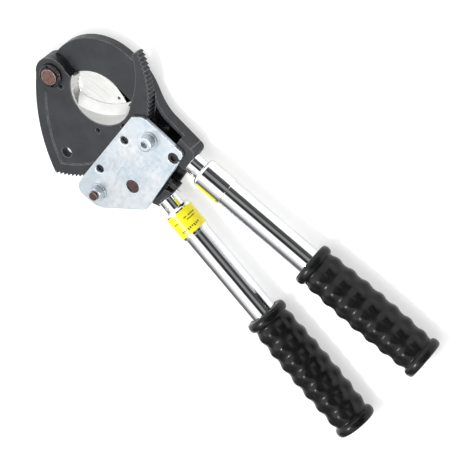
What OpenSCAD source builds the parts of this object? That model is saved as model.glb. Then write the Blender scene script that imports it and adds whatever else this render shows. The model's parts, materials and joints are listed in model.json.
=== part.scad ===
// Manual ratchet cable cutter with two telescopic handles.
// The origin is on the main pivot axis, at the plane that the tool rests on. +Z points to the
// front plate, -X points along the fixed handle to its grip, and the jaws close towards -Y.

/* [Head] */
// Radius over the tips of the ratchet teeth, measured from the main pivot
sector_r = 100.5; // [100:0.1:101]
// Depth of one ratchet tooth
tooth_depth = 2.4; // [1.5:0.1:3]
// Thickness of the fixed jaw
fixed_jaw_t = 9; // [8:0.5:9]
// Thickness of the moving jaw
moving_jaw_t = 8.7; // [8:0.1:8.7]
// Thickness of the front plate
plate_t = 4; // [3:0.5:4]
// Radius of both jaw lugs around the main pivot
lug_r = 16.5; // [16:0.1:17]
// Radius of the main pivot bolt
pivot_r = 7; // [6:0.5:8]

/* [Handles] */
// Outer diameter of the inner, telescoping tubes
inner_tube_d = 19; // [18:0.2:19.2]
// Outer diameter of the outer tubes
outer_tube_d = 25; // [24.4:0.2:25]
// Diameter of the lock collars
collar_d = 27.4; // [27:0.2:28]
// Length of the lock collars
collar_l = 29; // [26:1:32]
// Angle that a sticker covers round its collar
label_sweep = 150; // [120:5:330]
// Visible length of the inner tube between the head and the collar
neck_l = 12; // [8:1:16]
// Distance from the end of the head to the front of the grip
grip_start = 134; // [120:0.5:140]
// Length of a grip
grip_l = 132; // [125:1:145]
// Largest diameter of a grip
grip_d = 41; // [39:0.5:41]
// Angle between the two handles
handle_angle = 12.8; // [10:0.2:15]

/* [Fasteners] */
// Diameter of the corner stud
stud_d = 8; // [6:1:8]
// Width across flats of the corner nut
nut_af = 13; // [10:1:13]
// Diameter of the lever pivot pin
lever_pin_d = 12.4; // [10:0.2:13]
// Head diameter of the socket cap screw that carries the holding pawl
cap_head_d = 13; // [12:0.5:13.5]
// Head diameter of the recessed screw at the end of the front plate
recess_head_d = 10; // [9:0.5:11]

/* [Hidden] */
round_fn = 64;
arc_step = 3;
eps = 0.02;
slip = 0.3;
run = 0.05;

// Heights of the layers, from the rest plane upwards
grip_r = grip_d / 2;
handle_z = 20.5;
frame_z = 7;
shear_z = frame_z + fixed_jaw_t;
jaw_z0 = shear_z + slip;
jaw_z1 = jaw_z0 + moving_jaw_t;
plate_z0 = jaw_z1 + slip;
plate_z1 = plate_z0 + plate_t;
pocket_z = 11;
rim_z = 18;
lever_z0 = pocket_z + slip;
pawl_z1 = jaw_z0 + 4.7;

// Places in the plane of the tool
arm_c = [-44, -13];
arm_r = 53.3;
gullet_c = [-46, -20];
gullet_r = 30.5;
fixed_seat_c = [-46.6, 3.9];
fixed_seat_r = 35.5;
fixed_edge_c = [-46, 56];
fixed_edge_r = 57;
moving_edge_c = [-22.8, -53.2];
moving_edge_r = 53.7;
lever_p = [-116.4, 34.3];
drive_p = [-131, 27];
drive_tip = [-100.8, -10.6];
hold_p = [-106, -20];
hold_tip = [-95.4, -34.2];
boss_r = 6.4;
stud_p = [-93.7, 65.2];
plate_screw_p = [-132.3, -22];
sector_holes = [[-87.5, -0.5], [-83.2, 43.9]];
hang_hole = [-48.9, 58.2];
hang_hole_r = 5;
fixed_axis_y = -25.8;
head_end_x = -146;
moving_root = [head_end_x, 24.9];

// Ratchet sector
tooth_pitch = 2.4;
sector_a0 = 120.3;
sector_teeth = 48;
sector_a1 = sector_a0 + sector_teeth * tooth_pitch;

// Tubes
inner_r = inner_tube_d / 2;
inner_bore_r = 7.1;
spigot_r = inner_bore_r - 0.1;
spigot_l = 30;
outer_r = outer_tube_d / 2;
outer_bore_r = 10.3;
collar_r = collar_d / 2;
collar_lip = 3;
collet_l = 6;
tube_start = neck_l + collar_lip + 0.4 + collet_l + 0.4;
inner_tube_l = 202;
tube_pin_s = 8;
tube_pin_r = 2.5;
fixed_label_a = 20;
moving_label_a = -114;
grip_wall = 4;
tube_end = grip_start + grip_l - grip_wall;

function polar(r, a) = [r * cos(a), r * sin(a)];
function arc(c, r, a0, a1) =
  let (n = max(2, ceil(abs(a1 - a0) / arc_step)))
  [for (i = [0:n]) c + polar(r, a0 + (a1 - a0) * i / n)];
function curve(p0, p1, p2, n = 10) =
  [for (i = [0:n]) let (t = i / n)
    (1 - t) * (1 - t) * p0 + 2 * t * (1 - t) * p1 + t * t * p2];
function shifted(points, v) = [for (p = points) p + v];
function reversed(points) = [for (i = [len(points) - 1:-1:0]) points[i]];

// Outer edge of the frame on its -Y side, from the jaw arm to the handle socket
function frame_edge() = concat(
  curve([-50, -66.1], [-66, -67.6], [-84, -54.8]),
  curve([-84, -54.8], [-96, -45.5], [-108, -43.2]),
  [[-139.5, -39.4]],
  arc([-140.6, -33.9], 5.4, 280, 180));

// Saw teeth: a steep flank stops the sector from opening, a long back lets it close
function sector_edge() = [
  for (i = [0:sector_teeth - 1])
    for (k = [0:2])
      let (a = sector_a0 + tooth_pitch * (i + [0, 0.12, 0.9][k]))
      polar(sector_r - [tooth_depth, 0, tooth_depth * 0.92][k], a)];

module plate_at(z0, z1) {
  translate([0, 0, z0]) linear_extrude(z1 - z0) children();
}

module disc(c, r, z0, z1) {
  translate([c[0], c[1], z0]) cylinder(r = r, h = z1 - z0, $fn = round_fn);
}

module cone(c, r0, r1, z0, z1) {
  translate([c[0], c[1], z0]) cylinder(r1 = r0, r2 = r1, h = z1 - z0, $fn = round_fn);
}

module ring(c, r0, r1, z0, z1) {
  difference() {
    disc(c, r1, z0, z1);
    disc(c, r0, z0 - 1, z1 + 1);
  }
}

module hexagon(c, af, z0, z1) {
  translate([c[0], c[1], z0]) cylinder(d = af / cos(30), h = z1 - z0, $fn = 6);
}

// A straight bar with round ends between two points of the plan. Its flanks run just inside the
// round ends, so that they cross the circles and don't only touch them
module bar(p, q, w0, w1) {
  d = q - p;
  n = 0.48 * [-d[1], d[0]] / norm(d);
  polygon([p + n * w0, q + n * w1, q - n * w1, p - n * w0]);
  translate(p) circle(d = w0, $fn = round_fn);
  translate(q) circle(d = w1, $fn = round_fn);
}

// Turns a shape drawn along +Z into the direction of a handle
module on_fixed_handle() {
  translate([head_end_x, fixed_axis_y, handle_z]) rotate([0, -90, 0]) children();
}

module on_moving_handle() {
  translate([moving_root[0], moving_root[1], handle_z]) rotate([0, 0, -handle_angle])
    rotate([0, -90, 0]) children();
}

module tube(r0, r1, s0, s1) {
  translate([0, 0, s0]) difference() {
    cylinder(r = r1, h = s1 - s0, $fn = round_fn);
    translate([0, 0, -1]) cylinder(r = r0, h = s1 - s0 + 2, $fn = round_fn);
  }
}

module frame_plan() {
  difference() {
    translate(arm_c) circle(r = arm_r, $fn = round_fn);
    translate([-79, 5]) square([130, 60]);
  }
  circle(r = lug_r, $fn = round_fn);
  polygon(concat(
    [[-50, -40]],
    frame_edge(),
    [[-146, 44]],
    arc([-141, 44], 5, 180, 110),
    [[-134, 51.5], [-100, 81]],
    arc([-87, 68], 12.6, 100, 172),
    [[-79, 40], [-79, -20]]));
}

// Pocket behind the ratchet teeth, inside the rim
module pocket_plan() {
  difference() {
    polygon(concat(
      shifted(frame_edge(), [1.2, 3.4]),
      [[-160, -30], [-160, 60], [-134, 60], [-100, 100], [-60, 90], [-60, -30]]));
    circle(r = sector_r + 1, $fn = round_fn);
    translate(hold_p) circle(r = boss_r, $fn = round_fn);
    translate([-147, -42]) square([20, 25.5]);
  }
}

module fixed_socket() {
  difference() {
    plate_at(shear_z - 1, plate_z0) intersection() {
      frame_plan();
      translate([-147, -42]) square([20, 25.5]);
    }
    disc([0, 0], sector_r + 1, shear_z, plate_z1);
  }
  on_fixed_handle() cylinder(r = spigot_r, h = spigot_l, $fn = round_fn);
}

module frame_forging() {
  color([0.16, 0.16, 0.17]) difference() {
    union() {
      plate_at(frame_z, shear_z) frame_plan();
      difference() {
        plate_at(shear_z - 1, rim_z) polygon(concat(
          frame_edge(), [[-146, -20], [-50, -20]]));
        disc([0, 0], sector_r + 1, shear_z, plate_z1);
      }
      fixed_socket();
    }
    plate_at(pocket_z, plate_z1) pocket_plan();
    disc(fixed_seat_c, fixed_seat_r + run, frame_z - 1, shear_z + 1);
    disc([0, 0], pivot_r + run, 0, plate_z1);
    disc(lever_p, lever_pin_d / 2 + run, 0, plate_z1);
    disc(stud_p, stud_d / 2 + run, 0, plate_z1);
    disc(hold_p, 4 + run, 0, plate_z1);
    disc(hold_p, boss_r + 0.4, shear_z, plate_z1);
    disc(plate_screw_p, 3 + run, frame_z + 3, plate_z1);
    on_fixed_handle() cross_hole();
  }
  color([0.16, 0.16, 0.17]) lug_infill();
}

// The part of the fixed lug that the blade seat would cut away
module lug_infill() {
  difference() {
    ring([0, 0], pivot_r + run, lug_r, frame_z, shear_z);
    translate([-30, -40, 0]) cube([13.5, 80, 40]);
  }
}

module fixed_blade() {
  color([0.8, 0.81, 0.82]) difference() {
    disc(fixed_seat_c, fixed_seat_r, frame_z, shear_z);
    cone(fixed_edge_c, fixed_edge_r + 6.7, fixed_edge_r, frame_z - eps, shear_z + eps);
    disc([0, 0], lug_r + run, frame_z - 1, shear_z + 1);
    disc([-60.5, -23], 1.5, shear_z - 6, shear_z + 1);
  }
}

module front_plate() {
  color([0.72, 0.76, 0.8]) difference() {
    plate_at(plate_z0, plate_z1) polygon(concat(
      [[-88.5, -33.6], [-90, -34.6], [-92, -34.6], [-93.5, -35.6]],
      [[-133.5, -33.4]],
      arc([-133.7, -28.6], 4.8, 270, 190),
      [[-138.8, -26], [-137.2, -24.5], [-138.8, -23], [-138.8, 38]],
      arc([-127.5, 40], 11.3, 180, 135),
      [[-105, 77.6]],
      arc([-94.5, 68.5], 12.8, 125, 95),
      arc([-83.5, 71.7], 9.6, 90, 0),
      [[-73.9, 64.5], [-81.4, -27]]));
    for (p = sector_holes) {
      disc(p, 3.6, plate_z0 - 1, plate_z1 + 1);
      cone(p, 3.6, 4.6, plate_z1 - 1, plate_z1 + eps);
    }
    plate_at(plate_z0 - 1, plate_z1 + 1) difference() {
      translate(lever_p) circle(r = lever_pin_d / 2 + run, $fn = round_fn);
      pin_key(0);
    }
    disc(stud_p, stud_d / 2 + run, plate_z0 - 1, plate_z1 + 1);
    disc(hold_p, 4 + run, plate_z0 - 1, plate_z1 + 1);
    disc(plate_screw_p, 3 + run, plate_z0 - 1, plate_z1 + 1);
    disc(plate_screw_p, recess_head_d / 2 + 0.2, plate_z0 + 1, plate_z1 + 1);
  }
}

// Tab of the front plate that keeps the lever pin from turning
module pin_key(clearance) {
  key_w = 4.4;
  key_depth = 2.2;
  translate(lever_p) rotate(76)
    translate([lever_pin_d / 2 - key_depth - clearance, -key_w / 2 - clearance])
      square([key_depth + 2, key_w + 2 * clearance]);
}

module pivot_bolt() {
  color([0.45, 0.27, 0.24]) {
    hexagon([0, 0], 24, 0, frame_z);
    disc([0, 0], pivot_r, frame_z - eps, 29.6);
    cone([0, 0], pivot_r, pivot_r - 0.8, 29.6 - eps, 30.4);
  }
}

module pivot_nut() {
  color([0.14, 0.14, 0.15]) difference() {
    union() {
      disc([0, 0], 10.8, plate_z0, 27.4);
      cone([0, 0], 10.8, 10, 27.4 - eps, 28.2);
    }
    disc([0, 0], pivot_r + eps, 20, 40);
    for (a = [45:90:315])
      disc(polar(8.9, a), 0.9, 26.4, 40);
  }
}

module lever_pivot_pin() {
  color([0.45, 0.3, 0.26]) difference() {
    disc(lever_p, lever_pin_d / 2, frame_z, plate_z1 + 0.6);
    plate_at(plate_z0 - run, plate_z1 + 1) pin_key(run);
  }
}

module corner_stud() {
  stud_top = 40.4;
  color([0.4, 0.32, 0.28]) {
    hexagon(stud_p, nut_af, frame_z - 5.3, frame_z);
    disc(stud_p, stud_d / 2, frame_z - eps, stud_top - 0.8);
    cone(stud_p, stud_d / 2, stud_d / 2 - 0.8, stud_top - 0.8 - eps, stud_top);
  }
}

module corner_washer() {
  color([0.75, 0.77, 0.8]) ring(stud_p, stud_d / 2 + run, 8, plate_z1, plate_z1 + 1.6);
}

module corner_nut() {
  color([0.75, 0.77, 0.8]) difference() {
    intersection() {
      hexagon(stud_p, nut_af, plate_z1 + 1.6, plate_z1 + 8.1);
      union() {
        cone(stud_p, nut_af / 2 - 0.2, nut_af / 2 + 2.3, plate_z1 + 1.6, plate_z1 + 3.1);
        disc(stud_p, nut_af / 2 + 2.3, plate_z1 + 3, plate_z1 + 6.7);
        cone(stud_p, nut_af / 2 + 2.3, nut_af / 2 - 0.2, plate_z1 + 6.6, plate_z1 + 8.1);
      }
    }
    disc(stud_p, stud_d / 2 + eps, plate_z1, plate_z1 + 10);
  }
}

module corner_spacer() {
  color([0.6, 0.62, 0.65]) ring(stud_p, stud_d / 2 + run, 6.5, pocket_z, plate_z0);
}

// Socket cap screw: the threaded end sits in the frame, the shank carries the holding pawl
module pawl_screw() {
  head_z = plate_z1 + 1.6;
  color([0.7, 0.72, 0.75]) difference() {
    union() {
      disc(hold_p, 4, frame_z, head_z + eps);
      disc(hold_p, cap_head_d / 2, head_z, head_z + 7.5);
      cone(hold_p, cap_head_d / 2, cap_head_d / 2 - 0.5, head_z + 7.5 - eps, head_z + 8);
    }
    hexagon(hold_p, 6, head_z + 3.5, head_z + 9);
  }
}

module pawl_screw_washer() {
  color([0.75, 0.77, 0.8]) ring(hold_p, 4 + run, 8.3, plate_z1, plate_z1 + 1.6);
}

module plate_screw() {
  color([0.5, 0.52, 0.54]) difference() {
    union() {
      disc(plate_screw_p, 3, frame_z + 3.5, plate_z1);
      disc(plate_screw_p, recess_head_d / 2, plate_z0 + 1, plate_z1 - 0.3);
    }
    hexagon(plate_screw_p, 5, plate_z0 + 1.6, plate_z1 + 1);
  }
}

module inner_tube() {
  difference() {
    tube(inner_bore_r, inner_r, 0.3, inner_tube_l);
    cross_hole();
  }
}

module cross_hole() {
  translate([-20, 0, tube_pin_s]) rotate([0, 90, 0])
    cylinder(r = tube_pin_r + run, h = 40, $fn = round_fn);
}

module tube_pin() {
  translate([run - inner_r, 0, tube_pin_s]) rotate([0, 90, 0])
    cylinder(r = tube_pin_r, h = 2 * (inner_r - run), $fn = round_fn);
}

// Nylon bush at the rear end of the inner tube, which runs in the bore of the outer tube
module guide_bush() {
  translate([0, 0, inner_tube_l]) cylinder(r = outer_bore_r - 0.08, h = 8, $fn = round_fn);
  translate([0, 0, inner_tube_l - 10]) cylinder(r = inner_bore_r - eps, h = 10, $fn = round_fn);
}

module outer_tube() {
  tube(outer_bore_r, outer_r, tube_start, tube_end);
}

module collet() {
  difference() {
    tube(inner_r + 0.08, outer_r - 0.3, neck_l + collar_lip + 0.4, tube_start);
    translate([0, -0.7, 0]) cube([20, 1.4, 60]);
  }
}

module lock_collar() {
  lip_r = inner_r + 0.15;
  shoulder = 3;
  translate([0, 0, neck_l]) rotate_extrude($fn = round_fn) polygon(concat(
    [[lip_r, 0]],
    [for (a = [0:15:90]) [collar_r - shoulder + shoulder * sin(a),
                          shoulder - shoulder * cos(a)]],
    [[collar_r, collar_l - 1], [collar_r - 0.6, collar_l], [outer_r + run, collar_l],
     [outer_r + run, collar_lip], [lip_r, collar_lip]]));
}

// Sticker on a collar, from an angle round the handle that starts at the tool's front side
module label_band(start) {
  translate([0, 0, neck_l + 4]) rotate([0, 0, start])
    rotate_extrude(angle = label_sweep, $fn = round_fn)
      translate([collar_r + eps, 0]) square([0.25, collar_l - 7]);
}

// Rubber grip: a barrel with rings of bumps between two end beads, closed at the rear end
function grip_ring_r(s) =
  let (bead = 8, u = (s - bead) / (grip_l - 2 * bead))
  (u < 0 || u > 1)
    ? grip_r - 0.4 - 2.2 * pow(abs(s < bead ? s - 4.6 : grip_l - 4.6 - s) / 4.6, 2)
    : grip_r - 1.5 + 1.5 * sin(180 * u) - 1.9 * pow(cos(180 * 7 * u), 2);

module grip() {
  n = 98;
  translate([0, 0, grip_start]) rotate_extrude($fn = round_fn) polygon(concat(
    [for (i = [0:n]) [grip_ring_r(grip_l * i / n), grip_l * i / n]],
    [[0, grip_l], [0, grip_l - grip_wall + run], [outer_r + run, grip_l - grip_wall + run],
     [outer_r + run, 0]]));
}

module end_plug() {
  translate([0, 0, tube_end - 12]) cylinder(r = outer_bore_r - eps, h = 12, $fn = round_fn);
}

module fixed_inner_tube() { color([0.85, 0.86, 0.88]) on_fixed_handle() inner_tube(); }
module fixed_tube_pin() { color([0.3, 0.3, 0.32]) on_fixed_handle() tube_pin(); }
module fixed_guide_bush() { color([0.9, 0.9, 0.86]) on_fixed_handle() guide_bush(); }
module fixed_outer_tube() { color([0.85, 0.86, 0.88]) on_fixed_handle() outer_tube(); }
module fixed_collet() { color([0.8, 0.7, 0.4]) on_fixed_handle() collet(); }
module fixed_lock_collar() { color([0.82, 0.83, 0.85]) on_fixed_handle() lock_collar(); }
module fixed_label() { color([0.9, 0.85, 0.1]) on_fixed_handle() label_band(fixed_label_a); }
module fixed_grip() { color([0.1, 0.1, 0.1]) on_fixed_handle() grip(); }
module fixed_end_plug() { color([0.2, 0.2, 0.2]) on_fixed_handle() end_plug(); }
module moving_inner_tube() { color([0.85, 0.86, 0.88]) on_moving_handle() inner_tube(); }
module moving_tube_pin() { color([0.3, 0.3, 0.32]) on_moving_handle() tube_pin(); }
module moving_guide_bush() { color([0.9, 0.9, 0.86]) on_moving_handle() guide_bush(); }
module moving_outer_tube() { color([0.85, 0.86, 0.88]) on_moving_handle() outer_tube(); }
module moving_collet() { color([0.8, 0.7, 0.4]) on_moving_handle() collet(); }
module moving_lock_collar() { color([0.82, 0.83, 0.85]) on_moving_handle() lock_collar(); }
module moving_label() { color([0.9, 0.85, 0.1]) on_moving_handle() label_band(moving_label_a); }
module moving_grip() { color([0.1, 0.1, 0.1]) on_moving_handle() grip(); }
module moving_end_plug() { color([0.2, 0.2, 0.2]) on_moving_handle() end_plug(); }

// Outline of the moving jaw: the lug, the curved back, the ratchet sector and its horn
module moving_jaw_plan() {
  circle(r = lug_r, $fn = round_fn);
  polygon(concat(
    curve([13, 10], [-9, 59], [-50, 86.4]),
    sector_edge(),
    arc(polar(97.6, sector_a1), 2.4, sector_a1, sector_a1 + 90),
    [polar(93, sector_a1 + 1)],
    curve([-53.5, -75], [-69, -60], [-73.6, -34]),
    [[-60, -25], [-20, -12], [-8, -14]]));
}

module moving_jaw() {
  color([0.15, 0.15, 0.16]) difference() {
    plate_at(jaw_z0, jaw_z1) moving_jaw_plan();
    disc(gullet_c, gullet_r + run, 0, plate_z1);
    disc([0, 0], 9 + eps, 0, plate_z1);
    disc(hang_hole, hang_hole_r, 0, plate_z1);
    for (p = screw_places)
      disc(p, 2.5 + run, jaw_z1 - 5, plate_z1);
    plate_at(jaw_z1 - 0.6, plate_z1) polygon(concat(groove_line(0), reversed(groove_line(1.2))));
  }
}

// Line of the groove that sets off a border along the jaw's back and its lower teeth
function groove_line(inset) = concat(
  curve([-3.5 - inset, 20], [-20 - inset, 53 - inset], [-49.7 - inset, 73.5 - inset], 8),
  arc([0, 0], sector_r - 12 - inset, 125, 152));

screw_places = [[-12.4, 3.4], [-62.2, 13.9], [-78.4, -9.4]];

module jaw_bush() {
  color([0.75, 0.6, 0.35]) ring([0, 0], pivot_r + run, 9, jaw_z0, jaw_z1);
}

module moving_blade() {
  top_z = jaw_z1 - 0.5;
  color([0.82, 0.83, 0.84]) difference() {
    disc(gullet_c, gullet_r, jaw_z0, top_z);
    intersection() {
      cone(moving_edge_c, moving_edge_r, moving_edge_r + 6.8, jaw_z0 - eps, top_z + eps);
      cone(gullet_c, gullet_r - 3, gullet_r - 1.9, jaw_z0 - eps, top_z + eps);
    }
    plate_at(jaw_z0 - 1, plate_z1) polygon(
      [[-90, -38.5], [-68, -28.4], [-30, -19.2], [-10, -13.6], [-10, -60], [-90, -60]]);
  }
}

module blade_screws() {
  color([0.35, 0.35, 0.37]) for (p = screw_places) difference() {
    disc(p, 2.5, jaw_z1 - 5, jaw_z1 - 0.7);
    hexagon(p, 2.5, jaw_z1 - 2.7, jaw_z1);
  }
}

module lever_plan_thin() {
  bar(lever_p, drive_p, 24, 13);
  polygon([lever_p + [1, 12], [-143.5, 36.1], [-148.5, 13.7], lever_p + [-1, -12]]);
}

module lever() {
  color([0.16, 0.15, 0.15]) difference() {
    union() {
      plate_at(lever_z0, jaw_z0 - slip) lever_plan_thin();
      disc(lever_p, 9.4, lever_z0, jaw_z1);
      plate_at(lever_z0, jaw_z1) polygon([[-139.5, 38], [-143.5, 36.1], [-148.5, 13.7],
        [-141, 15.4]]);
      on_moving_handle() translate([0, 0, -1]) cylinder(r = spigot_r, h = spigot_l + 1,
        $fn = round_fn);
    }
    disc([0, 0], 139.5, plate_z0 - slip, 40);
    disc(lever_p, 8 + eps, 0, plate_z1);
    disc(drive_p, 4 + eps, 0, plate_z1);
    on_moving_handle() cross_hole();
  }
}

module lever_bush() {
  color([0.75, 0.6, 0.35]) ring(lever_p, lever_pin_d / 2 + run, 8, lever_z0, jaw_z1);
}

module drive_pawl_pin() {
  color([0.5, 0.5, 0.52]) disc(drive_p, 4, lever_z0, jaw_z1);
}

// Torsion spring: closed coils around a pin, with two straight legs
module torsion_spring(c, leg_a, leg_l) {
  wire = 1.1;
  pitch = 1;
  coil_r = 5.2;
  for (i = [0:2])
    translate([c[0], c[1], pawl_z1 + 0.75 + i * pitch]) rotate_extrude($fn = round_fn)
      translate([coil_r, 0]) circle(d = wire, $fn = 16);
  for (k = [0:1])
    translate([c[0], c[1], pawl_z1 + 0.75 + 2 * k * pitch]) rotate([0, 0, leg_a[k]])
      translate([coil_r, 0, 0]) rotate([0, 90, 90]) cylinder(d = wire, h = leg_l, $fn = 16);
}

module drive_pawl_spring() {
  color([0.6, 0.6, 0.62]) torsion_spring(drive_p, [-60, 150], 6.5);
}

module holding_pawl_spring() {
  color([0.6, 0.6, 0.62]) torsion_spring(hold_p, [120, 220], 7);
}

// A pawl's nose: a wedge that points at the root of one tooth gap
module pawl_nose(tip, from) {
  d = (tip - from) / norm(tip - from);
  n = [-d[1], d[0]];
  polygon([tip, tip - d * 7 + n * 2.6, tip - d * 9 - n * 3.2, tip - d * 2.4 - n * 2.6]);
}

module drive_pawl() {
  d = (drive_tip - drive_p) / norm(drive_tip - drive_p);
  color([0.13, 0.13, 0.14]) difference() {
    plate_at(jaw_z0, pawl_z1) {
      bar(drive_p, drive_tip - d * 9, 13, 7.4);
      pawl_nose(drive_tip, drive_p);
      polygon([[-137, 25], [-136.5, 11.5], [-149.6, 9.4], [-149.6, 3.6], [-133, 5.4],
        [-126.5, 22]]);
    }
    disc(drive_p, 4 + run, 0, plate_z1);
  }
  color([0.13, 0.13, 0.14]) plate_at(pawl_z1 - eps, jaw_z1) translate([-149.6, 3.6])
    square([7.5, 6]);
}

// The nose arm and the release tail are one outline around the hub
module holding_pawl() {
  d = (hold_tip - hold_p) / norm(hold_tip - hold_p);
  n = [-d[1], d[0]];
  tail = [-112.4, -38.6];
  color([0.13, 0.13, 0.14]) difference() {
    union() {
      disc(hold_p, 6.3, jaw_z0, pawl_z1);
      plate_at(jaw_z0, pawl_z1) polygon([
        hold_p + n * 5.6, hold_tip - d * 7 + n * 2.6, hold_tip, hold_tip - d * 2.4 - n * 2.6,
        hold_tip - d * 9 - n * 3.2, hold_p + [0.9, -8.5],
        tail + [2.4, 1.6], tail, tail + [-1.6, 2.6], hold_p + [-4.9, 1.8]]);
    }
    disc(hold_p, 4 + run, 0, plate_z1);
  }
}

frame_forging();
fixed_blade();
front_plate();
pivot_bolt();
pivot_nut();
lever_pivot_pin();
corner_stud();
corner_washer();
corner_nut();
corner_spacer();
pawl_screw();
pawl_screw_washer();
plate_screw();
fixed_inner_tube();
fixed_tube_pin();
fixed_guide_bush();
moving_jaw();
jaw_bush();
moving_blade();
blade_screws();
lever();
lever_bush();
moving_inner_tube();
moving_tube_pin();
moving_guide_bush();
drive_pawl_pin();
drive_pawl_spring();
drive_pawl();
holding_pawl();
holding_pawl_spring();
fixed_outer_tube();
fixed_collet();
fixed_grip();
fixed_end_plug();
fixed_lock_collar();
fixed_label();
moving_outer_tube();
moving_collet();
moving_grip();
moving_end_plug();
moving_lock_collar();
moving_label();
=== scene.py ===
"""Looks of the ratchet cable cutter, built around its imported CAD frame. Lengths are in metres."""
import json
import math

import bmesh
import bpy
from mathutils import Matrix, Vector


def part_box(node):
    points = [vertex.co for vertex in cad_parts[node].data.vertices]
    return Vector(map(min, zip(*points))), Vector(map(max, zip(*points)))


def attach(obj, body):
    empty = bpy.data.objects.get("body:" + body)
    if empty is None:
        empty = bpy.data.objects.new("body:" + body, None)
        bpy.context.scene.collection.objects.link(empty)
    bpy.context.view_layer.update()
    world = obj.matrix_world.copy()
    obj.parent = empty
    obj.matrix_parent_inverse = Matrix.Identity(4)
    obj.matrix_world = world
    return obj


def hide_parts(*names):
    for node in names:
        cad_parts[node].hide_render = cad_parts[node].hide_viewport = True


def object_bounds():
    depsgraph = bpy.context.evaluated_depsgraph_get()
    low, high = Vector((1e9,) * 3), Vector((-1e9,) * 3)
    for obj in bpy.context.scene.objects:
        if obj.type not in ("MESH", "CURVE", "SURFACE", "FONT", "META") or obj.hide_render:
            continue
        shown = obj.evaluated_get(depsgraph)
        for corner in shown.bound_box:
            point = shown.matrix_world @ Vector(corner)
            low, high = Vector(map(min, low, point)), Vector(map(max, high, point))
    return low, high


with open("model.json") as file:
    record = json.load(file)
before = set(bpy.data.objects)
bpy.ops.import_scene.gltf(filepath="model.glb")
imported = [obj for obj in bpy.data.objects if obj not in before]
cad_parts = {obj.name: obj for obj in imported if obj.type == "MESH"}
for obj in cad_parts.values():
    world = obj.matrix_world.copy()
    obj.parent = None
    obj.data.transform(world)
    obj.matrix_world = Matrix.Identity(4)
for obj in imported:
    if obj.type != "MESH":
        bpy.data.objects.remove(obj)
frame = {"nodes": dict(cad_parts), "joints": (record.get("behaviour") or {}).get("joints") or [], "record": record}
CAD_LOW, CAD_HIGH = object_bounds()
NODES = frame["nodes"]
JOINTS = {joint["name"]: joint for joint in frame["joints"]}
SLOTS = {part["node"]: part["material_slot"] for part in frame["record"]["subparts"]}
BODIES = {node: body
          for body, nodes in frame["record"]["behaviour"]["bodies"].items() for node in nodes}

MM = 0.001
ROUND_SEGMENTS = 128

# Edges that turn by more than this are broken, but the blades' knife edges stay sharp
SHARP_FROM = math.radians(32)
KNIFE_FROM = math.radians(112)
KNIVES = ("fixed_blade", "moving_blade")

# CAD vertices this close are welded, and CAD faces this close in angle are merged
CAD_WELD = 0.002 * MM
FLAT_WITHIN = math.radians(0.6)

# Width of the broken edges on the parts that keep their CAD shape
EDGE_WIDTHS = {
    "frame_forging": 0.5 * MM, "moving_jaw": 0.35 * MM, "front_plate": 0.5 * MM, "lever": 0.5 * MM,
    "fixed_blade": 0.15 * MM, "moving_blade": 0.12 * MM, "pivot_bolt": 0.4 * MM,
    "pivot_nut": 0.3 * MM,
    "lever_pivot_pin": 0.4 * MM, "corner_stud": 0.3 * MM, "corner_washer": 0.3 * MM,
    "corner_nut": 0.3 * MM, "corner_spacer": 0.3 * MM, "pawl_screw": 0.35 * MM,
    "pawl_screw_washer": 0.3 * MM, "plate_screw": 0.25 * MM, "blade_screws": 0.15 * MM,
    "drive_pawl": 0.5 * MM, "holding_pawl": 0.25 * MM, "jaw_bush": 0.2 * MM,
    "lever_bush": 0.2 * MM,
    "fixed_collet": 0.2 * MM, "moving_collet": 0.2 * MM, "fixed_end_plug": 0.4 * MM,
    "moving_end_plug": 0.4 * MM, "fixed_guide_bush": 0.4 * MM, "moving_guide_bush": 0.4 * MM,
    "drive_pawl_pin": 0.3 * MM, "fixed_tube_pin": 0.3 * MM, "moving_tube_pin": 0.3 * MM,
}


# ---------------------------------------------------------------- materials

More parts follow.
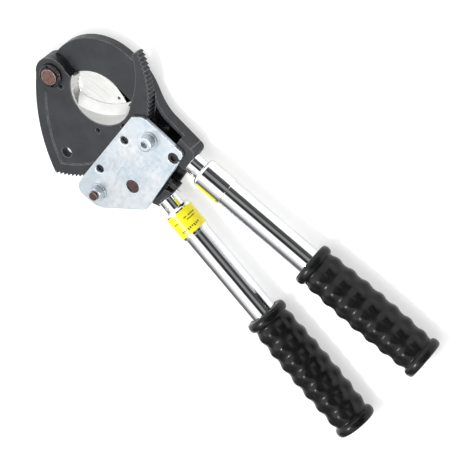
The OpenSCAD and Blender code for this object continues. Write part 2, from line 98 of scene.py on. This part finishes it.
class Surface:
    """A Principled material, with short calls that add node patterns measured in metres."""

    def __init__(self, name, metallic=0.0, roughness=0.5, specular=0.5, coat=0.0):
        self.material = bpy.data.materials.new(name)
        self.material.use_nodes = True
        self.tree = self.material.node_tree
        self.shader = self.tree.nodes["Principled BSDF"]
        self.set("Metallic", metallic)
        self.set("Roughness", roughness)
        self.set("Specular IOR Level", specular)
        self.set("Coat Weight", coat)
        self.place = self.node("ShaderNodeTexCoord").outputs["Object"]

    def set(self, socket, value):
        self.shader.inputs[socket].default_value = value

    def node(self, kind, **values):
        made = self.tree.nodes.new(kind)
        for key, value in values.items():
            setattr(made, key, value)
        return made

    def link(self, output, target):
        self.tree.links.new(output, target)

    def noise(self, size, detail=4.0, stretch=(1, 1, 1), rough=0.55):
        """Noise whose features are about size long, stretched along the axes."""
        mapping = self.node("ShaderNodeMapping")
        mapping.inputs["Scale"].default_value = [1 / (size * s) for s in stretch]
        self.link(self.place, mapping.inputs["Vector"])
        made = self.node("ShaderNodeTexNoise")
        made.inputs["Scale"].default_value = 1.0
        made.inputs["Detail"].default_value = detail
        made.inputs["Roughness"].default_value = rough
        self.link(mapping.outputs[0], made.inputs["Vector"])
        return made.outputs["Fac"]

    def ramp(self, value, low, high, at=(0.35, 0.65)):
        """Spreads a value between at[0] and at[1] over low to high."""
        made = self.node("ShaderNodeMapRange", clamp=True)
        made.inputs["From Min"].default_value = at[0]
        made.inputs["From Max"].default_value = at[1]
        made.inputs["To Min"].default_value = low
        made.inputs["To Max"].default_value = high
        self.link(value, made.inputs["Value"])
        return made.outputs["Result"]

    def math(self, operation, a, b):
        made = self.node("ShaderNodeMath", operation=operation)
        for socket, value in zip(made.inputs, (a, b)):
            if isinstance(value, (int, float)):
                socket.default_value = value
            else:
                self.link(value, socket)
        return made.outputs[0]

    def mix(self, factor, a, b):
        made = self.node("ShaderNodeMix", data_type="RGBA")
        self.link(factor, made.inputs["Factor"])
        for socket, value in ((made.inputs["A"], a), (made.inputs["B"], b)):
            if isinstance(value, tuple):
                socket.default_value = (*value, 1.0)
            else:
                self.link(value, socket)
        return made.outputs["Result"]

    def colour(self, value):
        self.link(value, self.shader.inputs["Base Color"])

    def roughness(self, value):
        self.link(value, self.shader.inputs["Roughness"])

    def bump(self, height, depth, strength=1.0):
        made = self.node("ShaderNodeBump")
        made.inputs["Distance"].default_value = depth
        made.inputs["Strength"].default_value = strength
        self.link(height, made.inputs["Height"])
        self.link(made.outputs["Normal"], self.shader.inputs["Normal"])

    def edges(self, radius, broken_by, reach=(0.985, 0.93)):
        """1 within radius of an edge, broken up by a noise, and 0 on flat ground."""
        bevel = self.node("ShaderNodeBevel", samples=6)
        bevel.inputs["Radius"].default_value = radius
        geometry = self.node("ShaderNodeNewGeometry")
        dot = self.node("ShaderNodeVectorMath", operation="DOT_PRODUCT")
        self.link(bevel.outputs["Normal"], dot.inputs[0])
        self.link(geometry.outputs["Normal"], dot.inputs[1])
        edge = self.ramp(dot.outputs["Value"], 0.0, 1.0, at=reach)
        return self.math("MULTIPLY", edge, broken_by)

    def rings(self, centre, pitch, wander):
        """Fine arcs round a vertical axis, as a grinding wheel leaves them."""
        shift = self.node("ShaderNodeVectorMath", operation="SUBTRACT")
        self.link(self.place, shift.inputs[0])
        shift.inputs[1].default_value = (centre[0], centre[1], 0)
        flat = self.node("ShaderNodeVectorMath", operation="MULTIPLY")
        self.link(shift.outputs[0], flat.inputs[0])
        flat.inputs[1].default_value = (1, 1, 0)
        length = self.node("ShaderNodeVectorMath", operation="LENGTH")
        self.link(flat.outputs[0], length.inputs[0])
        spread = self.math("MULTIPLY", length.outputs["Value"], 1 / pitch)
        vector = self.node("ShaderNodeCombineXYZ")
        self.link(spread, vector.inputs["X"])
        self.link(self.ramp(self.noise(wander), 0, 1.5), vector.inputs["Y"])
        made = self.node("ShaderNodeTexNoise")
        made.inputs["Scale"].default_value = 1.0
        made.inputs["Detail"].default_value = 3.0
        self.link(vector.outputs[0], made.inputs["Vector"])
        return made.outputs["Fac"]


def forged_black():
    """Satin black oxide over a shot-blasted forging, with a painted highlight along the edges, broken up by a
    noise.
    """
    s = Surface("black_forging", metallic=0.0, roughness=0.42, specular=0.42)
    clouds = s.ramp(s.noise(22 * MM, detail=5), 0, 1)
    base = s.mix(clouds, (0.010, 0.011, 0.0135), (0.019, 0.0205, 0.025))
    # Painted highlight: the edges are painted a paler grey, standing in for the highlight lines that light draws
    # along them.
    paler_edges = s.edges(1.1 * MM, s.ramp(s.noise(5 * MM), 0.45, 1.0), reach=(0.99, 0.95))
    s.colour(s.mix(paler_edges, base, (0.19, 0.19, 0.20)))
    s.roughness(s.ramp(s.noise(6 * MM, detail=6), 0.38, 0.54))
    s.bump(s.noise(0.55 * MM, detail=3), 0.05 * MM, 0.6)
    return s.material


def ground_steel(name, centre, flat):
    """Ground blade steel, with arcs round the grinding wheel's axis; the faces that point up take the flat colour,
    a painted shade darker than the honed bevels.
    """
    s = Surface(name, metallic=1.0, roughness=0.3)
    lines = s.rings(centre, 0.35 * MM, 30 * MM)
    stain = s.ramp(s.noise(14 * MM, detail=5), 0, 1)
    honed = s.mix(stain, (0.70, 0.70, 0.685), (0.80, 0.80, 0.79))
    # Painted shade: this darker mix goes on the faces that point up.
    dull = s.mix(stain, tuple(0.92 * c for c in flat), flat)
    upright = s.node("ShaderNodeSeparateXYZ")
    s.link(s.node("ShaderNodeTexCoord").outputs["Normal"], upright.inputs[0])
    s.colour(s.mix(s.ramp(upright.outputs["Z"], 0, 1, at=(0.90, 0.97)), honed, dull))
    s.roughness(s.ramp(lines, 0.30, 0.46))
    s.bump(lines, 0.012 * MM, 0.5)
    return s.material


def zinc_plate():
    """Blue passivated zinc on a blanked plate: cloudy and finely brushed, greyer along some brush streaks."""
    s = Surface("zinc_plate", metallic=0.9, roughness=0.36)
    clouds = s.ramp(s.noise(35 * MM, detail=3), 0, 1)
    brushed = s.noise(0.5 * MM, detail=3, stretch=(1, 26, 1))
    base = s.mix(clouds, (0.50, 0.575, 0.635), (0.67, 0.70, 0.725))
    s.colour(s.mix(s.ramp(brushed, 0.0, 0.28), base, (0.42, 0.46, 0.50)))
    s.roughness(s.math("ADD", s.ramp(brushed, 0.30, 0.42), s.ramp(s.noise(4 * MM), -0.03, 0.05)))
    s.bump(brushed, 0.012 * MM, 0.35)
    return s.material


def brown_phosphate(name, shade):
    """Brown oxidised pin steel, rubbed brighter round its edges; shade scales its colour."""
    s = Surface(name, metallic=0.35, roughness=0.5)
    blotch = s.ramp(s.noise(2.5 * MM, detail=5), 0, 1)
    low, high = (0.085, 0.038, 0.034), (0.185, 0.088, 0.078)
    base = s.mix(blotch, tuple(shade * c for c in low), tuple(shade * c for c in high))
    paler_edges = s.edges(0.5 * MM, s.ramp(s.noise(1.5 * MM), 0.3, 1.0))
    s.colour(s.mix(s.math("MULTIPLY", paler_edges, 0.8), base, (0.42, 0.33, 0.30)))
    s.roughness(s.ramp(s.noise(1.2 * MM), 0.38, 0.6))
    s.bump(s.noise(0.4 * MM), 0.03 * MM, 0.5)
    return s.material


def chrome():
    """Polished chrome with a faint draw grain and a few dull patches."""
    s = Surface("chrome_tube", metallic=1.0, roughness=0.07)
    patch = s.ramp(s.noise(18 * MM, detail=4), 0, 1)
    s.colour(s.mix(patch, (0.78, 0.79, 0.81), (0.86, 0.87, 0.885)))
    grain = s.noise(0.3 * MM, detail=2, stretch=(60, 1, 1))
    s.roughness(s.math("ADD", s.ramp(grain, 0.045, 0.10), s.ramp(s.noise(7 * MM), 0.0, 0.04)))
    s.bump(s.noise(6 * MM, detail=2), 0.02 * MM, 0.12)
    return s.material


def dark_steel():
    s = Surface("dark_steel", metallic=0.7, roughness=0.36)
    s.colour(s.mix(s.ramp(s.noise(3 * MM), 0, 1), (0.020, 0.020, 0.022), (0.055, 0.054, 0.056)))
    s.roughness(s.ramp(s.noise(1.5 * MM), 0.28, 0.46))
    s.bump(s.noise(0.5 * MM), 0.02 * MM, 0.4)
    return s.material


def spring_steel():
    s = Surface("spring_steel", metallic=1.0, roughness=0.3)
    s.colour(s.mix(s.ramp(s.noise(2 * MM), 0, 1), (0.36, 0.36, 0.38), (0.52, 0.51, 0.50)))
    s.roughness(s.ramp(s.noise(0.6 * MM), 0.22, 0.4))
    return s.material


def bronze():
    s = Surface("bronze", metallic=1.0, roughness=0.35)
    s.colour(s.mix(s.ramp(s.noise(3 * MM), 0, 1), (0.42, 0.27, 0.11), (0.60, 0.42, 0.19)))
    s.roughness(s.ramp(s.noise(0.8 * MM), 0.28, 0.45))
    s.bump(s.noise(0.3 * MM), 0.015 * MM, 0.4)
    return s.material


def nylon():
    s = Surface("nylon", roughness=0.5)
    s.colour(s.mix(s.ramp(s.noise(6 * MM), 0, 1), (0.74, 0.72, 0.64), (0.82, 0.80, 0.73)))
    s.roughness(s.ramp(s.noise(1 * MM), 0.42, 0.58))
    s.bump(s.noise(0.5 * MM), 0.02 * MM, 0.3)
    return s.material


def black_plastic():
    s = Surface("black_plastic", roughness=0.5)
    s.colour(s.mix(s.ramp(s.noise(5 * MM), 0, 1), (0.02, 0.02, 0.021), (0.035, 0.035, 0.036)))
    s.roughness(s.ramp(s.noise(1 * MM), 0.42, 0.6))
    s.bump(s.noise(0.4 * MM), 0.02 * MM, 0.4)
    return s.material


def grip_rubber():
    """Semi-gloss moulded rubber with a fine grain and a dusty bloom in places."""
    s = Surface("grip_rubber", roughness=0.28, specular=0.24)
    bloom = s.ramp(s.noise(16 * MM, detail=6), 0, 1)
    s.colour(s.mix(bloom, (0.0035, 0.0036, 0.0040), (0.0075, 0.0076, 0.0082)))
    s.roughness(s.ramp(s.noise(5 * MM, detail=5), 0.22, 0.33))
    s.bump(s.noise(0.45 * MM, detail=3), 0.02 * MM, 0.3)
    return s.material


LABEL_YELLOW = (0.86, 0.79, 0.008)
LABEL_INK = (0.07, 0.065, 0.03)


def label_rect(s, uv, low, high):
    """1 inside a rectangle of the label's own surface, whose sides run from 0 to 1."""
    inside = None
    for axis in range(2):
        for limit, operation in ((low[axis], "GREATER_THAN"), (high[axis], "LESS_THAN")):
            step = s.math(operation, uv.outputs[axis], limit)
            inside = step if inside is None else s.math("MULTIPLY", inside, step)
    return inside


def yellow_label():
    """Printed vinyl: plain dark bars in place of any lettering, on a clean yellow ground."""
    s = Surface("yellow_label", roughness=0.34, coat=0.15)
    uv = s.node("ShaderNodeSeparateXYZ")
    s.link(s.node("ShaderNodeTexCoord").outputs["UV"], uv.inputs[0])
    ink = None
    for low, high in label_bars():
        bar = label_rect(s, uv, low, high)
        ink = bar if ink is None else s.math("MAXIMUM", ink, bar)
    ink = s.math("MULTIPLY", ink, s.ramp(s.noise(0.5 * MM, detail=5), 0.8, 1.0, at=(0.3, 0.45)))
    ground = s.mix(s.ramp(s.noise(9 * MM), 0, 1), LABEL_YELLOW, (0.80, 0.70, 0.006))
    s.colour(s.mix(ink, ground, LABEL_INK))
    s.roughness(s.ramp(s.noise(3 * MM), 0.26, 0.42))
    s.bump(s.noise(2.5 * MM), 0.03 * MM, 0.25)
    return s.material


def label_bars():
    """Bars as (low corner, high corner) in label units: a row of blocks and a few dashes."""
    first, pitch, width = 0.24, 0.062, 0.036
    bottom, top, taller = 0.72, 0.79, 0.025
    dash_height = 0.042
    bars = []
    for k in range(9):
        x = first + pitch * k
        bars.append(((x, bottom), (x + width, top + taller * (k % 3))))
    dashes = ((0.14, 0.30, 0.24), (0.42, 0.30, 0.08), (0.20, 0.42, 0.26), (0.68, 0.34, 0.16))
    for x, y, length in dashes:
        bars.append(((x, y), (x + length, y + dash_height)))
    return bars


# ---------------------------------------------------------------- mesh tools

def new_piece(name, body, material, mesh_maker, replaced):
    mesh = bpy.data.meshes.new(name)
    bm = bmesh.new()
    mesh_maker(bm)
    bm.to_mesh(mesh)
    bm.free()
    piece = bpy.data.objects.new(name, mesh)
    bpy.context.scene.collection.objects.link(piece)
    mesh.materials.append(material)
    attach(piece, body)
    if replaced:
        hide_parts(*replaced)
    return piece


def smooth(piece, angle_deg=35):
    """Smooth shading, broken at edges that turn by more than the angle."""
    for face in piece.data.polygons:
        face.use_smooth = True
    piece.data.set_sharp_from_angle(angle=math.radians(angle_deg))
    weighted = piece.modifiers.new("weighted", "WEIGHTED_NORMAL")
    weighted.keep_sharp = True


def finished_part(node, material):
    """The CAD part with its edges broken, as a mesh of its own."""
    source = NODES[node].data

    def shape(bm):
        bm.from_mesh(source)
        bmesh.ops.remove_doubles(bm, verts=bm.verts, dist=CAD_WELD)
        bmesh.ops.dissolve_limit(bm, angle_limit=FLAT_WITHIN, verts=bm.verts, edges=bm.edges)
        limit = KNIFE_FROM if node in KNIVES else math.pi
        sharp = [e for e in bm.edges
                 if len(e.link_faces) == 2 and SHARP_FROM < e.calc_face_angle(0) < limit]
        bmesh.ops.bevel(bm, geom=sharp, offset=EDGE_WIDTHS[node], segments=2, profile=0.5,
                        affect="EDGES", clamp_overlap=False)
        for face in bm.faces:
            face.material_index = 0

    piece = new_piece(node + "_part", BODIES[node], material, shape, [node])
    smooth(piece)
    return piece


class Handle:
    """Places things round one handle: s runs from the head's end face to the grip, r outwards."""

    def __init__(self, side):
        twist = JOINTS[side + "_collar_twist"]
        self.side = side
        self.root = Vector(twist["pos_m"])
        self.along = Vector(twist["axis"]).normalized()
        self.up = Vector((0, 0, 1))
        self.across = self.along.cross(self.up)

    def point(self, s, r, angle):
        outwards = self.up * math.cos(angle) + self.across * math.sin(angle)
        return self.root + self.along * s + outwards * r

    def sweep(self, node):
        """(first angle, last angle) that a part covers round this handle."""
        flat = []
        for vertex in NODES[node].data.vertices:
            offset = vertex.co - self.root
            flat.append(Vector((offset.dot(self.up), offset.dot(self.across))))
        middle = sum(flat, Vector((0, 0)))
        centre = math.atan2(middle.y, middle.x)
        turns = [(math.atan2(v.y, v.x) - centre + math.pi) % (2 * math.pi) - math.pi for v in flat]
        return centre + min(turns), centre + max(turns)

    def measure(self, node):
        """(first s, last s, smallest r, largest r) of a CAD node round this handle."""
        ends, radii = [], []
        for vertex in NODES[node].data.vertices:
            offset = vertex.co - self.root
            s = offset.dot(self.along)
            ends.append(s)
            radii.append((offset - self.along * s).length)
        return min(ends), max(ends), min(radii), max(radii)


def turned(bm, handle, profile, segments=ROUND_SEGMENTS, radius_at=None):
    """Turns a closed profile of (s, r) points round the handle's axis."""
    rings = []
    for k in range(segments):
        angle = 2 * math.pi * k / segments
        ring = []
        for s, r in profile:
            shown = radius_at(s, r, angle) if radius_at else r
            ring.append(bm.verts.new(handle.point(s, shown, angle)))
        rings.append(ring)
    count = len(profile)
    for k in range(segments):
        here, there = rings[k], rings[(k + 1) % segments]
        for i in range(count):
            j = (i + 1) % count
            bm.faces.new((here[i], there[i], there[j], here[j]))
    bmesh.ops.remove_doubles(bm, verts=bm.verts, dist=TURNED_WELD)
    bmesh.ops.recalc_face_normals(bm, faces=bm.faces)


def corner(s, r, ds, dr, steps=5):
    """Quarter round between (s, r + dr) and (s + ds, r), with the centre at (s + ds, r + dr)."""
    return [(s + ds * (1 - math.cos(t)), r + dr * (1 - math.sin(t)))
            for t in (math.pi / 2 * i / steps for i in range(steps + 1))]


def tube_profile(s0, s1, bore, outer, edge):
    """A plain tube whose four rims are rounded by edge."""
    front = corner(s0, outer, edge, -edge)
    back = list(reversed(corner(s1, outer, -edge, -edge)))
    inner_back = corner(s1, bore, -edge, edge)
    inner_front = list(reversed(corner(s0, bore, edge, edge)))
    return front + back + inner_back + inner_front


# ---------------------------------------------------------------- handles

TURNED_WELD = 0.0005 * MM
RUNNING_GAP = 0.05 * MM
TUBE_RIM = 0.5 * MM
COLLAR_LIP = 3 * MM
COLLAR_SHOULDER = 3.4 * MM
COLLAR_BACK_EDGE = 0.9 * MM

GRIP_RINGS = 7
GRIP_COLUMNS = 8
GRIP_PHASE = math.radians(13)
GRIP_BEAD = 9.8 * MM
GRIP_BUMP = 2.1 * MM
GRIP_BARREL_DROP = 1.6 * MM
GRIP_BARREL_RISE = 1.5 * MM
GRIP_RING_SHARE = 0.36
BEAD_DROP = 0.4 * MM
BEAD_GAP = 0.4 * MM
BEAD_FOOT = 3.0 * MM
GRIP_SEGMENTS = 160
GRIP_STEPS_PER_RING = 14


def add_tube(handle, part, material):
    node = handle.side + part
    s0, s1, bore, outer = handle.measure(node)
    profile = tube_profile(s0, s1, bore, outer, TUBE_RIM)
    piece = new_piece(node + "_turned", BODIES[node], material,
                      lambda bm: turned(bm, handle, profile), [node])
    smooth(piece)


def add_collar(handle, material):
    """Lock collar: a wide rounded shoulder in front and a small rounded edge at the back."""
    node = handle.side + "_lock_collar"
    s0, s1, bore, outer = handle.measure(node)
    inner = handle.measure(handle.side + "_outer_tube")[3] + RUNNING_GAP
    profile = (
        [(s0, bore)]
        + corner(s0, outer, COLLAR_SHOULDER, -COLLAR_SHOULDER, steps=10)
        + list(reversed(corner(s1, outer, -COLLAR_BACK_EDGE, -COLLAR_BACK_EDGE)))
        + [(s1, inner), (s0 + COLLAR_LIP, inner), (s0 + COLLAR_LIP, bore)]
    )
    piece = new_piece(handle.side + "_collar_turned", BODIES[node], material,
                      lambda bm: turned(bm, handle, profile), [node])
    smooth(piece)


def add_label(handle, material):
    """Wrapped label: a thin sheet with its own flat coordinates for the printed bars."""
    node = handle.side + "_label"
    s0, s1, r0, r1 = handle.measure(node)
    first, last = handle.sweep(node)
    steps = 72

    def shape(bm):
        uv = bm.loops.layers.uv.new("label")
        rows = []
        for i in range(steps + 1):
            u = i / steps
            angle = first + (last - first) * u
            rows.append([
                (bm.verts.new(handle.point(s, r, angle)), (u, v))
                for s, r, v in ((s0, r0, 0), (s0, r1, 0), (s1, r1, 1), (s1, r0, 1))
            ])
        for here, there in zip(rows, rows[1:]):
            for i in range(4):
                j = (i + 1) % 4
                corners = (here[i], there[i], there[j], here[j])
                face = bm.faces.new([c[0] for c in corners])
                for loop, c in zip(face.loops, corners):
                    loop[uv].uv = c[1]
        for row in (rows[0], rows[-1]):
            face = bm.faces.new([c[0] for c in row])
            for loop, c in zip(face.loops, row):
                loop[uv].uv = c[1]
        bmesh.ops.recalc_face_normals(bm, faces=bm.faces)

    piece = new_piece(node + "_wrap", BODIES[node], material, shape, [node])
    smooth(piece)


def grip_radius(s, angle, s0, s1, outer):
    """Outer radius of the grip: a barrel with rings of pillow-shaped bumps."""
    u = (s - s0 - GRIP_BEAD) / (s1 - s0 - 2 * GRIP_BEAD)
    u = min(max(u, 0), 1)
    crown = outer - GRIP_BARREL_DROP + GRIP_BARREL_RISE * math.sin(math.pi * u)
    ring = 1 - abs(math.cos(math.pi * GRIP_RINGS * u)) ** 2.4
    column = 1 - abs(math.sin(GRIP_COLUMNS / 2 * (angle + GRIP_PHASE))) ** 2.6
    share = GRIP_RING_SHARE + (1 - GRIP_RING_SHARE) * column
    return crown - GRIP_BUMP * (1 - ring * share)


def bead_profile(s0, s1, inner, outer):
    """A rounded bead from s0 to s1, whose feet stand on the inner radius."""
    middle, half = (s0 + s1) / 2, (s1 - s0) / 2
    depth = outer - inner
    steps = 14
    return [(middle - half * math.cos(t), inner + depth * math.sin(t) ** 0.6)
            for t in (math.pi * i / steps for i in range(steps + 1))]


def add_grip(handle, material):
    node = handle.side + "_grip"
    s0, s1, _, outer = handle.measure(node)
    tube_node = handle.side + "_outer_tube"
    tube_r = handle.measure(tube_node)[3] + RUNNING_GAP
    tube_end = handle.measure(tube_node)[1] + RUNNING_GAP
    front, back = s0 + GRIP_BEAD, s1 - GRIP_BEAD
    steps = GRIP_RINGS * GRIP_STEPS_PER_RING
    body = [(front + (back - front) * i / steps, None) for i in range(steps + 1)]
    neck = outer - GRIP_BARREL_DROP - GRIP_BUMP
    foot, crest = tube_r + BEAD_FOOT, outer - BEAD_DROP
    front_bead = [p for p in bead_profile(s0, front - BEAD_GAP, foot, crest)
                  if not (p[0] > (s0 + front) / 2 and p[1] < neck)]
    back_bead = [p for p in bead_profile(back + BEAD_GAP, s1, foot, crest)
                 if not (p[0] < (s1 + back) / 2 and p[1] < neck)]
    lip = [(s0 + 1.2 * MM, tube_r), (s0 + 0.5 * MM, tube_r + 0.5 * MM),
           (s0 + 0.9 * MM, tube_r + 1.8 * MM)]
    dish = [(s1 - 0.9 * MM, tube_r + 1.6 * MM), (s1 - 0.7 * MM, tube_r - 2 * MM),
            (s1 - 0.7 * MM, 0.0)]
    inside = [(tube_end, 0.0), (tube_end, tube_r)]
    profile = lip + front_bead + body + back_bead + dish + inside

    def radius_at(s, r, angle):
        return grip_radius(s, angle, s0, s1, outer) if r is None else r

    piece = new_piece(handle.side + "_grip_moulded", BODIES[node], material,
                      lambda bm: turned(bm, handle, profile, GRIP_SEGMENTS, radius_at), [node])
    smooth(piece, 60)


def add_stud_thread(material):
    """Thread on the end of the corner stud that stands out of the nut."""
    _, stud_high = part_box("corner_stud")
    nut_low, nut_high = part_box("corner_nut")
    centre = (nut_low + nut_high) / 2
    radius = 4.0 * MM
    root = radius - 0.2 * MM
    height = 0.30 * MM
    pitch = 1.25 * MM
    root_half, crest_half = 0.48 * MM, 0.08 * MM
    top = stud_high.z - 0.9 * MM
    start = nut_high.z + 0.15 * MM
    turns = int((top - start) / pitch)
    per_turn = 40
    count = turns * per_turn

    def shape(bm):
        rows = []
        for i in range(count + 1):
            angle = 2 * math.pi * i / per_turn
            middle = Vector((centre.x, centre.y, start + pitch * i / per_turn))
            out = Vector((math.cos(angle), math.sin(angle), 0))
            fade = min(1, 4 * i / per_turn, 4 * (count - i) / per_turn)
            crest = radius + height * fade
            rows.append([
                bm.verts.new(middle + out * r + Vector((0, 0, dz)))
                for r, dz in ((root, -root_half), (crest, -crest_half),
                              (crest, crest_half), (root, root_half))
            ])
        for here, there in zip(rows, rows[1:]):
            for i in range(4):
                j = (i + 1) % 4
                bm.faces.new((here[i], there[i], there[j], here[j]))
        bm.faces.new(rows[0])
        bm.faces.new(reversed(rows[-1]))
        bmesh.ops.recalc_face_normals(bm, faces=bm.faces)

    piece = new_piece("corner_stud_thread", BODIES["corner_stud"], material,
                      shape, [])
    smooth(piece)


# ---------------------------------------------------------------- studio

TARGET = Vector((-0.2091, 0.0081, 0.016))
CAMERA_AZIMUTH = math.radians(-6.4)
CAMERA_ELEVATION = math.radians(48.16)
CAMERA_DISTANCE = 1.814
CAMERA_ROLL = math.radians(-134.74)
CAMERA_LENS_MM = 160.05
SENSOR_MM = 36.0
FLOOR_SIZE = 6.0
FLOOR_GLOW = 0.55
FLOOR_GREY = 0.55
FLOOR_GAP = 0.1 * MM

# Bands of the studio above the object, from the horizon on the camera's side over the zenith to
# the horizon behind: (degrees, brightness)
STUDIO_BANDS = (
    (0, 0.12), (30, 0.05), (34, 0.30), (50, 0.30), (56, 0.03), (74, 0.03), (80, 1.5),
    (112, 1.5), (120, 0.90), (132, 0.80), (140, 0.50), (148, 0.20), (180, 0.12),
)
SIDE_CARD = 1.5
SIDE_CARD_FROM = 0.22
SIDE_CARD_TO = 0.34
BACKDROP = 1.0


def add_camera():
    camera = bpy.data.objects.new("camera", bpy.data.cameras.new("camera"))
    bpy.context.scene.collection.objects.link(camera)
    camera.data.sensor_width = SENSOR_MM
    camera.data.lens = CAMERA_LENS_MM
    level = Vector((math.cos(CAMERA_AZIMUTH), math.sin(CAMERA_AZIMUTH), 0))
    forward = Vector((-math.sin(CAMERA_AZIMUTH), math.cos(CAMERA_AZIMUTH), 0))
    back = Vector((0, 0, math.sin(CAMERA_ELEVATION))) - forward * math.cos(CAMERA_ELEVATION)
    tilted = back.cross(level)
    right = level * math.cos(CAMERA_ROLL) + tilted * math.sin(CAMERA_ROLL)
    up = back.cross(right)
    turn = Matrix((right, up, back)).transposed().to_4x4()
    camera.matrix_world = Matrix.Translation(TARGET + back * CAMERA_DISTANCE) @ turn
    bpy.context.scene.camera = camera


def add_studio_light():
    """A world of white and dark bands, which the chrome mirrors, and a plain pale backdrop."""
    world = bpy.data.worlds.new("studio")
    bpy.context.scene.world = world
    world.use_nodes = True
    tree = world.node_tree
    tree.nodes.clear()
    link = tree.links.new
    place = tree.nodes.new("ShaderNodeTexCoord")
    split = tree.nodes.new("ShaderNodeSeparateXYZ")
    link(place.outputs["Generated"], split.inputs[0])
    towards = tree.nodes.new("ShaderNodeMath")
    towards.operation = "MULTIPLY"
    towards.inputs[1].default_value = -1
    link(split.outputs["Y"], towards.inputs[0])
    angle = tree.nodes.new("ShaderNodeMath")
    angle.operation = "ARCTAN2"
    link(split.outputs["Z"], angle.inputs[0])
    link(towards.outputs[0], angle.inputs[1])
    share = tree.nodes.new("ShaderNodeMath")
    share.operation = "DIVIDE"
    share.inputs[1].default_value = math.pi
    link(angle.outputs[0], share.inputs[0])
    bands = tree.nodes.new("ShaderNodeValToRGB")
    ramp = bands.color_ramp
    while len(ramp.elements) < len(STUDIO_BANDS):
        ramp.elements.new(0.5)
    brightest = max(b for _, b in STUDIO_BANDS)
    for element, (degrees, brightness) in zip(ramp.elements, STUDIO_BANDS):
        element.position = degrees / 180
        level = brightness / brightest
        element.color = (level, level, level, 1)
    link(share.outputs[0], bands.inputs[0])
    side = tree.nodes.new("ShaderNodeMapRange")
    side.inputs["From Min"].default_value = SIDE_CARD_FROM
    side.inputs["From Max"].default_value = SIDE_CARD_TO
    link(split.outputs["X"], side.inputs["Value"])
    carded = tree.nodes.new("ShaderNodeMix")
    carded.data_type = "RGBA"
    carded.inputs["B"].default_value = (*[SIDE_CARD / brightest] * 3, 1)
    link(side.outputs["Result"], carded.inputs["Factor"])
    link(bands.outputs[0], carded.inputs["A"])
    studio = tree.nodes.new("ShaderNodeBackground")
    studio.inputs["Strength"].default_value = brightest
    link(carded.outputs["Result"], studio.inputs["Color"])
    pale = tree.nodes.new("ShaderNodeBackground")
    pale.inputs["Color"].default_value = (BACKDROP, BACKDROP, BACKDROP, 1)
    seen = tree.nodes.new("ShaderNodeLightPath")
    pick = tree.nodes.new("ShaderNodeMixShader")
    link(seen.outputs["Is Camera Ray"], pick.inputs[0])
    link(studio.outputs[0], pick.inputs[1])
    link(pale.outputs[0], pick.inputs[2])
    output = tree.nodes.new("ShaderNodeOutputWorld")
    link(pick.outputs[0], output.inputs[0])


def add_area_light(name, place, size, power, glossy):
    light = bpy.data.lights.new(name, "AREA")
    light.shape = "RECTANGLE"
    light.size, light.size_y = size
    light.energy = power
    lamp = bpy.data.objects.new(name, light)
    bpy.context.scene.collection.objects.link(lamp)
    lamp.location = place
    aim = Vector(place) - TARGET
    lamp.rotation_mode = "QUATERNION"
    lamp.rotation_quaternion = aim.to_track_quat("Z", "Y")
    lamp.visible_glossy = glossy
    lamp.visible_camera = False


def add_floor():
    half = FLOOR_SIZE / 2
    mesh = bpy.data.meshes.new("floor")
    corners = [(-half, -half, 0), (half, -half, 0), (half, half, 0), (-half, half, 0)]
    mesh.from_pydata(corners, [], [(0, 1, 2, 3)])
    floor = bpy.data.objects.new("floor", mesh)
    floor.location = (TARGET.x, TARGET.y, CAD_LOW.z - FLOOR_GAP)
    bpy.context.scene.collection.objects.link(floor)
    s = Surface("floor", roughness=0.9, specular=0.1)
    s.set("Base Color", (*[FLOOR_GREY] * 3, 1))
    s.set("Emission Color", (1, 1, 1, 1))
    s.set("Emission Strength", FLOOR_GLOW)
    mesh.materials.append(s.material)


# ---------------------------------------------------------------- the object

add_camera()
add_studio_light()
add_area_light("front_fill", place=(-0.2, -1.1, 0.45), size=(1.4, 0.9), power=5, glossy=False)
add_area_light("key", place=(-0.2, 0.27, 1.28), size=(0.30, 0.22), power=9.0, glossy=True)
add_floor()

MATERIALS = {
    "black_forging": forged_black(),
    "zinc_plate": zinc_plate(),
    "phosphated_pin": brown_phosphate("phosphated_pin", 1.0),
    "chrome_tube": chrome(),
    "dark_steel": dark_steel(),
    "spring_steel": spring_steel(),
    "bronze": bronze(),
    "nylon": nylon(),
    "black_plastic": black_plastic(),
    "grip_rubber": grip_rubber(),
    "yellow_label": yellow_label(),
}
DARK_PIN = brown_phosphate("dark_phosphated_pin", 0.42)
FIXED_WHEEL_CENTRE = (-0.046, 0.056)
MOVING_WHEEL_CENTRE = (-0.0228, -0.0532)
OWN_MATERIALS = {
    "corner_stud": DARK_PIN,
    "lever_pivot_pin": DARK_PIN,
    # The flat colours are painted shade, darker on the moving blade than on the fixed blade.
    "fixed_blade": ground_steel("fixed_blade_steel", FIXED_WHEEL_CENTRE, (0.72, 0.72, 0.70)),
    "moving_blade": ground_steel("moving_blade_steel", MOVING_WHEEL_CENTRE, (0.50, 0.50, 0.49)),
}

for node_name in EDGE_WIDTHS:
    finished_part(node_name, OWN_MATERIALS.get(node_name) or MATERIALS[SLOTS[node_name]])

for side_name in ("fixed", "moving"):
    arm = Handle(side_name)
    add_tube(arm, "_inner_tube", MATERIALS["chrome_tube"])
    add_tube(arm, "_outer_tube", MATERIALS["chrome_tube"])
    add_collar(arm, MATERIALS["chrome_tube"])
    add_label(arm, MATERIALS["yellow_label"])
    add_grip(arm, MATERIALS["grip_rubber"])

add_stud_thread(DARK_PIN)

for spring in ("drive_pawl_spring", "holding_pawl_spring"):
    for slot_number in range(len(NODES[spring].material_slots)):
        NODES[spring].material_slots[slot_number].material = MATERIALS["spring_steel"]

bpy.context.scene.view_settings.view_transform = "Standard"
